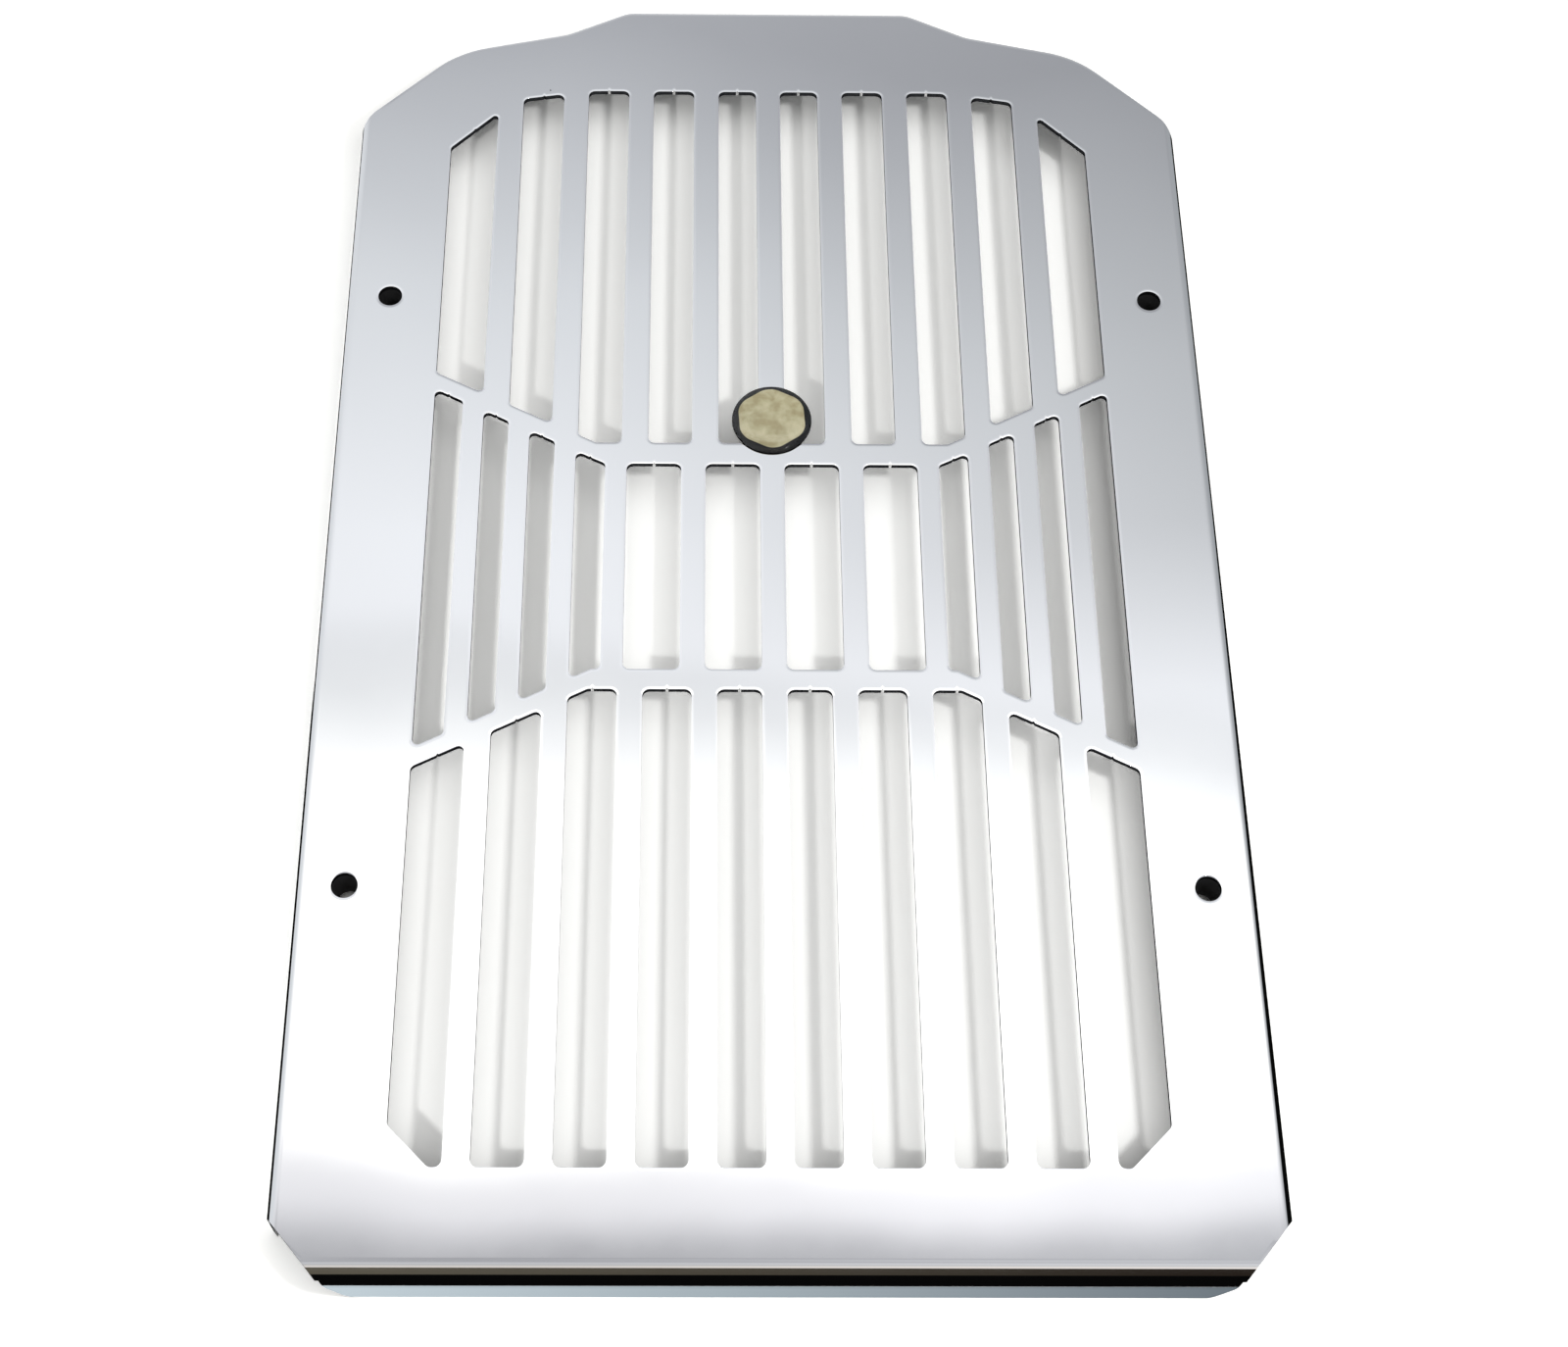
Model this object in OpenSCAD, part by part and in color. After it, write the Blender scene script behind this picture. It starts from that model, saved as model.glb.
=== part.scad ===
// Motorcycle radiator guard: one sheet of polished stainless steel, cut by laser and folded back
// on both sides and at the foot, with a resin-domed badge in front and rubber bushes behind.
// Lies face up on its flanges. X is across, Y runs up the guard, Z is up through its face.

/* [Sheet] */
// Width over the two side flanges
guard_w = 237; // [234:0.5:245]
// Length from the top edge to the foot flange
guard_l = 379; // [375:0.5:390]
// Thickness of the sheet
sheet_t = 1.5; // [1:0.1:2]
// Height of the flanges, from their feet to the face
flange_h = 14; // [13:0.5:20]
// Outer radius of the folds
bend_r = 5; // [3:0.25:5]

/* [Outline] */
// Width of the flat crown at the top edge
crown_w = 82.8; // [70:0.2:95]
// Width between the two hollow corners beside the crown
saddle_w = 117.8; // [110:0.2:130]
// Drop from the top edge to the hollow corners
saddle_drop = 8.5; // [5:0.1:12]
// Width between the two shoulders
shoulder_w = 182; // [165:0.5:195]
// Drop from the top edge to the shoulders
shoulder_drop = 15.8; // [13:0.1:20]
// Drop from the top edge to the top of the straight sides
side_drop = 42.6; // [38:0.2:50]
// Radius of the crown's ends
crown_r = 9; // [2:0.5:14]
// Radius of the hollow corners
saddle_r = 17; // [5:1:30]
// Radius of the shoulders
shoulder_r = 30; // [5:1:40]
// Radius at the top of the straight sides
side_r = 12; // [4:1:18]
// Part of the width that each lower corner loses
corner_cut_w = 13.5; // [11:0.5:18]
// Part of the length that each lower corner loses
corner_cut_l = 16; // [12:0.5:20]
// Radius where a cut corner meets a straight edge
cut_r = 2; // [0.5:0.5:4]
// Part of the foot flange's edge that the slanted cut at each end takes away
foot_trim_w = 6; // [3:0.5:12]
// Height of that cut above the foot
foot_trim_h = 12; // [8:0.5:12.5]
// Radius where the cut meets the foot
foot_trim_r = 6; // [2:0.5:8]

/* [Lattice rows] */
// Width of the windowed field
lattice_w = 183.2; // [176:0.2:190]
// Solid sheet above the upper windows
top_margin = 30; // [27:0.5:36]
// Solid sheet below the lower windows
foot_margin = 26.8; // [22:0.2:34]
// Height of the four plain windows in the middle
centre_h = 62.4; // [50:0.2:74]
// Distance of their middle below the middle of the guard
centre_drop = 1; // [0:0.5:5]
// Rail between the upper windows and the middle ones
upper_rail = 6.6; // [6:0.1:9]
// Rail between the middle windows and the lower ones
lower_rail = 5.8; // [5.5:0.1:9]
// Width of the slanted rails, square to their length
slant_rail = 4.8; // [4:0.1:6.5]
// Rise of the slanted rails
slant_angle = 27; // [20:0.5:32]
// Where the upper slanted rails start, from the centre line
upper_knee_x = 45; // [44:0.25:47]
// Where the lower slanted rails start, from the centre line
lower_knee_x = 47; // [46.5:0.25:48]
// Half width of the level part of the upper windows' top ends
crest_x = 51.5; // [46:0.5:54]
// Where the top ends of the outermost windows start to slant, from the centre line
crest_knee_x = 73.6; // [72:0.4:77]
// Drop of the top ends there
crest_drop = 3.6; // [1:0.1:5]
// Drop of those ends at the side of the field
crest_end_drop = 21.6; // [16:0.2:26]
// Cut across the lower outer corners of the windowed field
lattice_cut = 10; // [6:0.5:11]

/* [Lattice windows] */
// Bar on the centre line between the upper windows
upper_centre_bar = 7; // [5:0.1:9]
// Innermost upper windows
upper_first_w = 10.9; // [9:0.1:12]
// Other upper windows
upper_window_w = 11.8; // [10:0.1:12.5]
// Bars between the upper windows
upper_bar = 7.15; // [5:0.05:8]
// Bar on the centre line between the lower windows
lower_centre_bar = 6.5; // [5:0.1:9]
// Innermost lower windows
lower_first_w = 11.5; // [9:0.1:12.5]
// Other lower windows
lower_window_w = 12.55; // [10:0.05:13]
// Bars between the lower windows
lower_bar = 6.5; // [5:0.1:7.5]
// Width of the field of four plain windows in the middle
centre_w = 78; // [70:0.5:82]
// Bars between the plain windows
centre_bar = 6.5; // [4:0.1:9]
// Narrow windows beside the plain ones
narrow_first_w = 8; // [6.5:0.1:8.5]
// Other narrow windows
narrow_window_w = 6.9; // [5.5:0.1:7.5]
// Bars between the narrow windows
narrow_bar = 5.75; // [4.5:0.05:6.5]
// Corner radius of the wide windows
window_r = 1.8; // [0.8:0.1:2]
// Corner radius of the narrow windows
narrow_r = 1.5; // [0.8:0.1:1.6]
// Depth of the laser's lead-in nick in each window's top end
nick = 0.35; // [0.1:0.05:0.5]

/* [Fixing] */
// Mounting holes, clear of an M6 bolt
bolt_hole_d = 6.6; // [6.4:0.1:7.5]
// Distance of the holes from the sides
hole_edge = 12.75; // [12.75:0.25:16]
// Distance of the upper holes from the top edge
hole_top = 104.5; // [90:0.5:120]
// Spacing of the holes along the guard
hole_span = 177.5; // [160:0.5:190]
// Outer diameter of the rubber bushes behind the holes
bush_d = 15; // [11:0.5:15]
// Chamfer round the free end of a bush
bush_chamfer = 1; // [0.3:0.1:1.5]
// Height of the bushes' free ends above the flanges' feet
bush_gap = 2.5; // [1:0.5:4]

/* [Badge] */
// Diameter of the round badge
badge_d = 21.6; // [18:0.2:26]
// Distance of its middle above the upper rail
badge_rise = 7.4; // [6:0.2:14]
// Thickness of the printed foil
foil_t = 0.3; // [0.2:0.05:0.6]
// Height of the clear resin dome over the foil
dome_h = 1.7; // [0.8:0.1:3]

/* [Hidden] */
$fn = 64;
half_w = guard_w / 2;
half_l = guard_l / 2;
half_lattice = lattice_w / 2;
back_z = flange_h - sheet_t;
past = 1;
arc_steps = 4;
outline_steps = 10;
dome_steps = 12;
dome_power = 0.8;

// A window's corner keeps its radius while its curve takes no more than this of a side. The
// bends of an end line keep clear of those curves and of the nick, by these parts of the radius.
corner_reach = 2.2;
side_clear = 1.4;
nick_clear = 0.4;

hole_x = half_w - hole_edge;
upper_hole_y = half_l - hole_top;
lower_hole_y = upper_hole_y - hole_span;

slope = tan(slant_angle);
slant_rise = slant_rail / cos(slant_angle);
crest_y = half_l - top_margin;
centre_top = centre_h / 2 - centre_drop;
centre_foot = centre_top - centre_h;
upper_foot = centre_top + upper_rail;
lower_top = centre_foot - lower_rail;
lower_foot = foot_margin - half_l;

// Where the wide windows' ends start to slant, so that the slanted rails keep their width.
upper_row_knee = upper_knee_x + (upper_rail - slant_rise) / slope;
lower_row_knee = lower_knee_x + (lower_rail - slant_rise) / slope;

// The lines that end the windows, each from the centre line to the side of the windowed field.
function slant(knee, start, rise) =
    [[0, start], [knee, start], [half_lattice, start + rise * slope * (half_lattice - knee)]];
crest_line = [[0, crest_y], [crest_x, crest_y], [crest_knee_x, crest_y - crest_drop],
              [half_lattice, crest_y - crest_end_drop]];
upper_foot_line = slant(upper_row_knee, upper_foot, 1);
centre_top_line = slant(upper_knee_x, centre_top, 1);
centre_foot_line = slant(lower_knee_x, centre_foot, -1);
lower_top_line = slant(lower_row_knee, lower_top, -1);
lower_foot_line = [[0, lower_foot], [half_lattice - lattice_cut, lower_foot],
                   [half_lattice, lower_foot + lattice_cut]];

function unit(v) = v / norm(v);
function flat(lists) = [for (list = lists) each list];

// One corner [x, y, radius] between two neighbours, as the points of its arc.
function corner(before, here, after, steps) =
    let (a = unit([before.x - here.x, before.y - here.y]),
         b = unit([after.x - here.x, after.y - here.y]),
         half_angle = acos(max(-1, min(1, a * b))) / 2,
         middle = [here.x, here.y] + unit(a + b) * here.z / sin(half_angle),
         from = [here.x, here.y] + a * here.z / tan(half_angle) - middle,
         start = atan2(from.y, from.x),
         turn = (180 - 2 * half_angle) * sign(a.x * b.y - a.y * b.x))
    [for (i = [0:steps]) middle + here.z * [cos(start - turn * i / steps),
                                            sin(start - turn * i / steps)]];

// A polygon of corners [x, y, radius], where a radius of 0 leaves a sharp corner.
function rounded(corners, steps) =
    let (n = len(corners))
    flat([for (i = [0:n - 1])
        corners[i].z == 0
            ? [[corners[i].x, corners[i].y]]
            : corner(corners[(i + n - 1) % n], corners[i], corners[(i + 1) % n], steps)]);

function mirrored(corners) =
    [for (i = [len(corners) - 1:-1:0]) [-corners[i].x, corners[i].y, corners[i].z]];

// Left and right edges of the windows right of the centre line; the last one fills the field.
function columns(start, first, width, bar, count) =
    [for (i = [0:count - 1])
        let (left = i == 0 ? start : start + first + bar + (i - 1) * (width + bar))
        [left, i == count - 1 ? half_lattice : left + (i == 0 ? first : width)]];

// Slope of an end line from one place to another, in degrees.
function tilt(line, from, to) = atan((lookup(to, line) - lookup(from, line)) / (to - from));

// The bends of an end line between two places, as rounded corners.
function knees(line, from, to, r) = [for (p = line) if (p.x > from && p.x < to) [p.x, p.y, r]];

function reversed(list) = [for (i = [len(list) - 1:-1:0]) list[i]];

// Radius of a window's corner, by how many degrees it is wider than a right angle.
function corner_r(r, wider) = min(r, corner_reach * tan(45 + wider / 2));

// Corners of one window between two end lines, with a lead-in nick in the middle of its top.
function window(span, top, foot, r) =
    let (left = span[0], right = span[1], middle = (left + right) / 2,
         side_gap = r * side_clear, nick_gap = nick + r * nick_clear)
    concat([[left, lookup(left, foot), corner_r(r, -tilt(foot, left, left + r))]],
           knees(foot, left + side_gap, right - side_gap, r),
           [[right, lookup(right, foot), corner_r(r, tilt(foot, right - r, right))],
            [right, lookup(right, top), corner_r(r, -tilt(top, right - r, right))]],
           reversed(knees(top, middle + nick_gap, right - side_gap, r)),
           [[middle + nick, lookup(middle + nick, top), 0],
            [middle, lookup(middle, top) + nick, 0],
            [middle - nick, lookup(middle - nick, top), 0]],
           reversed(knees(top, left + side_gap, middle - nick_gap, r)),
           [[left, lookup(left, top), corner_r(r, tilt(top, left, left + r))]]);

upper_columns = columns(upper_centre_bar / 2, upper_first_w, upper_window_w, upper_bar, 5);
lower_columns = columns(lower_centre_bar / 2, lower_first_w, lower_window_w, lower_bar, 5);
narrow_columns = columns(centre_w / 2 + narrow_bar, narrow_first_w, narrow_window_w,
                         narrow_bar, 4);
plain_w = (centre_w - 3 * centre_bar) / 4;
plain_columns = [[centre_bar / 2, centre_bar / 2 + plain_w],
                 [centre_w / 2 - plain_w, centre_w / 2]];

right_outline = [
    [half_w - corner_cut_w, -half_l, cut_r],
    [half_w, corner_cut_l - half_l, cut_r],
    [half_w, half_l - side_drop, side_r],
    [shoulder_w / 2, half_l - shoulder_drop, shoulder_r],
    [saddle_w / 2, half_l - saddle_drop, saddle_r],
    [crown_w / 2, half_l, crown_r]];

// Fold in section: a quarter ring and the flange below it, with its outer face on x = 0.
module fold_section() {
    translate([-bend_r, -bend_r])
        intersection() {
            difference() {
                circle(bend_r);
                circle(bend_r - sheet_t);
            }
            square(bend_r);
        }
    translate([-sheet_t, -flange_h])
        square([sheet_t, flange_h - bend_r]);
}

// The sheet folded on three sides, before its corners are cut.
module folded_sheet() {
    translate([bend_r - half_w, bend_r - half_l, back_z])
        cube([guard_w - 2 * bend_r, guard_l - bend_r, sheet_t]);
    for (side = [-1, 1])
        translate([side * half_w, side > 0 ? half_l : bend_r - half_l, flange_h])
            rotate([90, 0, side > 0 ? 0 : 180])
                linear_extrude(guard_l - bend_r)
                    fold_section();
    intersection() {
        translate([bend_r - half_w, -half_l, flange_h])
            rotate([90, 0, -90])
                mirror([0, 0, 1])
                    linear_extrude(guard_w - 2 * bend_r)
                        fold_section();
        foot_trim();
    }
}

// Front view of the foot flange, whose ends are cut at a slant.
module foot_trim() {
    trim_x = half_w - corner_cut_w;
    right = [[trim_x - foot_trim_w, 0, foot_trim_r], [trim_x, foot_trim_h, 0],
             [half_w, foot_trim_h, 0], [half_w, flange_h + past, 0]];
    translate([0, bend_r - half_l, 0])
        rotate([90, 0, 0])
            linear_extrude(bend_r + past)
                polygon(rounded(concat(right, mirrored(right)), arc_steps));
}

// All the windows of one row, on both sides of the centre line.
module window_row(spans, top, foot, r) {
    for (span = spans)
        for (side = [0, 1])
            mirror([side, 0, 0])
                translate([0, 0, back_z - past])
                    linear_extrude(sheet_t + 2 * past)
                        polygon(rounded(window(span, top, foot, r), arc_steps));
}

module guard_plate() {
    color("gainsboro")
        difference() {
            intersection() {
                folded_sheet();
                translate([0, 0, -past])
                    linear_extrude(flange_h + 2 * past)
                        polygon(rounded(concat(right_outline, mirrored(right_outline)),
                                        outline_steps));
            }
            window_row(upper_columns, crest_line, upper_foot_line, window_r);
            window_row(narrow_columns, centre_top_line, centre_foot_line, narrow_r);
            window_row(plain_columns, centre_top_line, centre_foot_line, window_r);
            window_row(lower_columns, lower_top_line, lower_foot_line, window_r);
            for (x = [-hole_x, hole_x])
                for (y = [upper_hole_y, lower_hole_y])
                    translate([x, y, back_z - past])
                        cylinder(h = sheet_t + 2 * past, d = bolt_hole_d);
        }
}

// Printed foil: it carries the dome on the centre bar, across the two windows beside it.
module badge_label() {
    color("darkkhaki")
        translate([0, upper_foot + badge_rise, flange_h])
            cylinder(h = foil_t, d = badge_d);
}

// Poured resin: nearly flat on top, falling ever faster to the foil's edge.
module badge_dome() {
    profile = [for (i = [0:dome_steps])
        let (a = 90 * i / dome_steps)
        [badge_d / 2 * pow(cos(a), dome_power), dome_h * pow(sin(a), dome_power)]];
    color("lightyellow")
        translate([0, upper_foot + badge_rise, flange_h + foil_t])
            rotate_extrude()
                polygon(concat([[0, 0]], profile));
}

// Rubber bush, seated on the back of the sheet round one mounting hole.
module bush(x, y) {
    color("dimgray")
        translate([x, y, 0])
            difference() {
                union() {
                    translate([0, 0, bush_gap])
                        cylinder(h = bush_chamfer, d1 = bush_d - 2 * bush_chamfer, d2 = bush_d);
                    translate([0, 0, bush_gap + bush_chamfer])
                        cylinder(h = back_z - bush_gap - bush_chamfer, d = bush_d);
                }
                translate([0, 0, bush_gap - past])
                    cylinder(h = back_z + past, d = bolt_hole_d);
            }
}

guard_plate();
badge_label();
badge_dome();
bush(-hole_x, upper_hole_y);  // bush_upper_left
bush(hole_x, upper_hole_y);  // bush_upper_right
bush(-hole_x, lower_hole_y);  // bush_lower_left
bush(hole_x, lower_hole_y);  // bush_lower_right
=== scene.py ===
"""Looks of a motorcycle radiator guard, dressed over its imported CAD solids.

The guard lies face up on its flanges on a white table. X is across, Y runs up the guard and Z is up
through its polished face. All lengths in the code are metres unless a name ends in _mm.
"""

from __future__ import annotations

import logging
import math
from dataclasses import dataclass
from enum import Enum

import bpy
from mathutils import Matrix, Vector

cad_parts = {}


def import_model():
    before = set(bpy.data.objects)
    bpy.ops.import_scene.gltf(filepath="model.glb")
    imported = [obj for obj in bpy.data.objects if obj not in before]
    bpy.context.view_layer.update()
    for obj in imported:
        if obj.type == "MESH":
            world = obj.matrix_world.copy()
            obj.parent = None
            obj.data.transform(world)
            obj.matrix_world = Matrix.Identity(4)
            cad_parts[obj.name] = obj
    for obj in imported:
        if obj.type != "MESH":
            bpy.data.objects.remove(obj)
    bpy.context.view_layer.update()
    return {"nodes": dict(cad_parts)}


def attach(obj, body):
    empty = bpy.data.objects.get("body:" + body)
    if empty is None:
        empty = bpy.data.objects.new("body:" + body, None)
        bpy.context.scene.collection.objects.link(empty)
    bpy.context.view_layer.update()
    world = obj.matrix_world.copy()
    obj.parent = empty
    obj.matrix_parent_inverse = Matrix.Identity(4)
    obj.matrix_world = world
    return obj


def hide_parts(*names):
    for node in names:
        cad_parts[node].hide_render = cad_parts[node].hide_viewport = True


LOG = logging.getLogger("radiator_guard")
MM = 0.001
ROOT = "root"
WHITE = (1.0, 1.0, 1.0, 1.0)
# Sockets of a Mix node that blends colours: its two inputs and its output.
FIRST, SECOND, BLENDED = 6, 7, 2
# How much brighter than their own tones the sheet's mirror shows the room and the cards.
MIRROR_GAIN = 2.0

Place = tuple[float, float, float]
Colour = tuple[float, float, float, float]
Settings = dict[str | int, object]
Node = bpy.types.Node
Socket = bpy.types.NodeSocket
Links = dict[str | int, Socket]


def linear(hex_code: str) -> Colour:
    """Turn an sRGB hex colour into linear light.

    Args:
        hex_code: Colour such as "#C8C9CC".

    Returns:
        Red, green, blue and an alpha of 1.
    """
    parts = [int(hex_code[i : i + 2], 16) / 255 for i in (1, 3, 5)]
    light = [c / 12.92 if c <= 0.04045 else ((c + 0.055) / 1.055) ** 2.4 for c in parts]
    return (light[0], light[1], light[2], 1.0)


def adjust(node: Node, settings: Settings) -> None:
    """Set a node's properties and the values of its inputs.

    Args:
        node: The node.
        settings: Values by property name, input name or input number, properties first.
    """
    for name, value in settings.items():
        if isinstance(name, int) or name in node.inputs.keys():
            node.inputs[name].default_value = value
        else:
            setattr(node, name, value)


@dataclass(frozen=True)
class Nodes:
    """The nodes of a material or a world."""

    tree: bpy.types.NodeTree

    def plug(self, node: Node, links: Links) -> None:
        """Link other nodes' outputs, given by input name or input number, to a node's inputs."""
        for name, socket in links.items():
            self.tree.links.new(socket, node.inputs[name])

    def add(self, kind: str, settings: Settings | None = None, links: Links | None = None) -> Node:
        """Add one node with its settings and its incoming links.

        Args:
            kind: Blender's identifier of the node, without the ShaderNode that it starts with.
            settings: Values as adjust takes them.
            links: Sockets as plug takes them.

        Returns:
            The new node.
        """
        node = self.tree.nodes.new(f"ShaderNode{kind}")
        adjust(node, settings or {})
        self.plug(node, links or {})
        return node


def bare_material(title: str) -> bpy.types.Material:
    """Make a material with that name, whose node tree is still empty."""
    made = bpy.data.materials.new(title)
    made.use_nodes = True
    made.node_tree.nodes.clear()
    return made


def only(obj: bpy.types.Object) -> None:
    """Make one object the only selected and the active one."""
    bpy.ops.object.select_all(action="DESELECT")
    obj.select_set(True)
    bpy.context.view_layer.objects.active = obj


def edit(obj: bpy.types.Object, kind: str) -> None:
    """Enter edit mode on one object with one kind of element selectable.

    Args:
        obj: Mesh object.
        kind: "VERT", "EDGE" or "FACE".
    """
    only(obj)
    bpy.context.tool_settings.mesh_select_mode = tuple(kind == k for k in ("VERT", "EDGE", "FACE"))
    bpy.ops.object.mode_set(mode="EDIT")


def leave_edit() -> None:
    """Go back to object mode."""
    bpy.ops.object.mode_set(mode="OBJECT")


def clear_selection(mesh: bpy.types.Mesh) -> None:
    """Deselect every element of a mesh that is in object mode."""
    for group in (mesh.vertices, mesh.edges, mesh.polygons):
        group.foreach_set("select", [False] * len(group))


def settle(obj: bpy.types.Object, name: str) -> None:
    """Name a piece and move its place into its mesh, so that its object sits at the origin.

    Args:
        obj: Mesh object.
        name: Name of the piece.
    """
    leave_edit()
    only(obj)
    bpy.ops.object.transform_apply(location=True, rotation=True, scale=True)
    obj.name = name
    obj.data.name = name


class SheetZone(Enum):
    """Zones of the folded sheet, in the order of its material slots."""

    POLISHED = 0
    MILL_BACK = 1
    CUT_EDGE = 2


@dataclass(frozen=True)
class Finish:
    """A finish: what the real material is and how it meets the light."""

    title: str

    def material(self) -> bpy.types.Material:
        """Build the finish's material.

        Returns:
            A new material with a Principled shader.
        """
        made = bare_material(self.title)
        nodes = Nodes(made.node_tree)
        shader = nodes.add("BsdfPrincipled")
        place = nodes.add("TexCoord").outputs["Object"]
        surface = self.weave(nodes, shader, place)
        nodes.add("OutputMaterial", links={"Surface": surface})
        return made

    def weave(self, nodes: Nodes, shader: Node, place: Socket) -> Socket:
        """Add this finish's own nodes, of which a plain finish has none.

        Args:
            nodes: The material's nodes, which a plain finish does not use.
            shader: Its Principled shader.
            place: Object coordinates in metres, which a plain finish does not use.

        Returns:
            The socket that goes to the surface.
        """
        return shader.outputs["BSDF"]


@dataclass(frozen=True)
class PolishedStainless(Finish):
    """Austenitic stainless sheet, ground and buffed to a mirror: it shows the room nearly sharp,
    with the slow waviness of rolled sheet, a faint buffing haze and a few specks of dust."""

    title: str = "mirror-polished stainless steel"
    tint: str = "#DEDEDE"
    speck: str = "#5A5856"
    wave_mm: float = 75.0
    # Height over the noise's whole range, of which it mostly keeps to the middle third.
    wave_height_mm: float = 0.15
    haze_mm: float = 9.0
    clear_roughness: float = 0.035
    hazy_roughness: float = 0.06
    speck_spacing_mm: float = 34.0
    speck_radius_mm: float = 0.28

    def weave(self, nodes: Nodes, shader: Node, place: Socket) -> Socket:
        """Add waviness, buffing haze and dust specks.

        Args:
            nodes: The material's nodes.
            shader: Its Principled shader.
            place: Object coordinates in metres.

        Returns:
            The socket that goes to the surface.
        """
        waves = nodes.add(
            "TexNoise",
            {"Scale": 1 / (self.wave_mm * MM), "Detail": 1.0, "Roughness": 0.35},
            {"Vector": place},
        )
        bump = nodes.add(
            "Bump",
            {"Strength": 1.0, "Distance": self.wave_height_mm * MM},
            {"Height": waves.outputs["Fac"]},
        )
        haze = nodes.add(
            "TexNoise",
            {"Scale": 1 / (self.haze_mm * MM), "Detail": 4.0, "Roughness": 0.6},
            {"Vector": place},
        )
        rough = nodes.add(
            "MapRange",
            {
                "From Min": 0.3,
                "From Max": 0.75,
                "To Min": self.clear_roughness,
                "To Max": self.hazy_roughness,
            },
            {"Value": haze.outputs["Fac"]},
        )
        specks = nodes.add(
            "TexVoronoi", {"Scale": 1 / (self.speck_spacing_mm * MM)}, {"Vector": place}
        )
        in_speck = nodes.add(
            "Math",
            {"operation": "LESS_THAN", 1: self.speck_radius_mm / self.speck_spacing_mm},
            {0: specks.outputs["Distance"]},
        )
        colour = nodes.add(
            "Mix",
            {"data_type": "RGBA", FIRST: linear(self.tint), SECOND: linear(self.speck)},
            {"Factor": in_speck.outputs[0]},
        )
        adjust(shader, {"Metallic": 1.0})
        nodes.plug(
            shader,
            {
                "Base Color": colour.outputs[BLENDED],
                "Roughness": rough.outputs["Result"],
                "Normal": bump.outputs["Normal"],
            },
        )
        return shader.outputs["BSDF"]


@dataclass(frozen=True)
class GrainedFinish(Finish):
    """A finish in two tones that follow a grain, which also stands up from the surface."""

    light: str
    dark: str
    roughness: float
    grain_mm: tuple[float, float, float]
    detail: float
    fineness: float
    metallic: float = 0.0
    specular: float = 0.5
    sheen: str = "#FFFFFF"
    # Part of the noise's range that the two tones are spread over.
    tone_range: tuple[float, float] = (0.0, 1.0)
    relief: float = 0.0
    depth_mm: float = 0.0
    # How much rougher the surface gets where the grain is high.
    rougher: float = 0.0
    # Size of the clouds that the tones follow instead of the grain, if there are any.
    cloud_mm: float = 0.0

    def weave(self, nodes: Nodes, shader: Node, place: Socket) -> Socket:
        """Add the grain.

        Args:
            nodes: The material's nodes.
            shader: Its Principled shader.
            place: Object coordinates in metres.

        Returns:
            The socket that goes to the surface.
        """
        scale = tuple(1 / (size * MM) for size in self.grain_mm)
        scaled = nodes.add("Mapping", {"Scale": scale}, {"Vector": place})
        grain = nodes.add(
            "TexNoise",
            {"Scale": 1.0, "Detail": self.detail, "Roughness": self.fineness},
            {"Vector": scaled.outputs["Vector"]},
        )
        tones = grain
        if self.cloud_mm:
            tones = nodes.add(
                "TexNoise",
                {"Scale": 1 / (self.cloud_mm * MM), "Detail": self.detail, "Roughness": 0.5},
                {"Vector": place},
            )
        spread = nodes.add(
            "MapRange",
            {"From Min": self.tone_range[0], "From Max": self.tone_range[1]},
            {"Value": tones.outputs["Fac"]},
        )
        colour = nodes.add(
            "Mix",
            {"data_type": "RGBA", FIRST: linear(self.dark), SECOND: linear(self.light)},
            {"Factor": spread.outputs["Result"]},
        )
        bump = nodes.add(
            "Bump",
            {"Strength": self.relief, "Distance": self.depth_mm * MM},
            {"Height": grain.outputs["Fac"]},
        )
        rough = nodes.add(
            "MapRange",
            {
                "From Min": 0.3,
                "From Max": 0.7,
                "To Min": self.roughness,
                "To Max": self.roughness + self.rougher,
            },
            {"Value": grain.outputs["Fac"]},
        )
        adjust(
            shader,
            {
                "Metallic": self.metallic,
                "Specular IOR Level": self.specular,
                "Specular Tint": linear(self.sheen),
            },
        )
        nodes.plug(
            shader,
            {
                "Base Color": colour.outputs[BLENDED],
                "Roughness": rough.outputs["Result"],
                "Normal": bump.outputs["Normal"],
            },
        )
        return shader.outputs["BSDF"]


@dataclass(frozen=True)
class MillStainless(GrainedFinish):
    """The sheet's unpolished back in its cold-rolled mill finish: a dull silvery grey with a fine
    rolling grain along the sheet and cloudy patches."""

    title: str = "mill-finish stainless steel"
    light: str = "#8F9091"
    dark: str = "#7A7B7C"
    metallic: float = 1.0
    roughness: float = 0.3
    rougher: float = 0.15
    grain_mm: tuple[float, float, float] = (0.5, 20.0, 0.5)
    detail: float = 3.0
    fineness: float = 0.6
    relief: float = 0.35
    depth_mm: float = 0.01
    cloud_mm: float = 45.5


@dataclass(frozen=True)
class LaserCutStainless(GrainedFinish):
    """The sheet's laser-cut edge: a dark, half-matt oxide skin with fine upright striations, its
    colour and sheen darkened further as painted shade for the dark surroundings that the walls
    mirror. It draws the thin black lines round the windows."""

    title: str = "laser-cut stainless steel edge"
    # Partly the oxide's own dark tone and partly painted shade: darker still, standing in for the
    # dark surroundings that the cut walls mirror.
    light: str = "#46474A"
    dark: str = "#17181A"
    sheen: str = "#5A5B5D"
    metallic: float = 1.0
    roughness: float = 0.5
    grain_mm: tuple[float, float, float] = (0.45, 0.45, 3.6)
    detail: float = 2.0
    fineness: float = 0.5
    relief: float = 0.5
    depth_mm: float = 0.03


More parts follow.
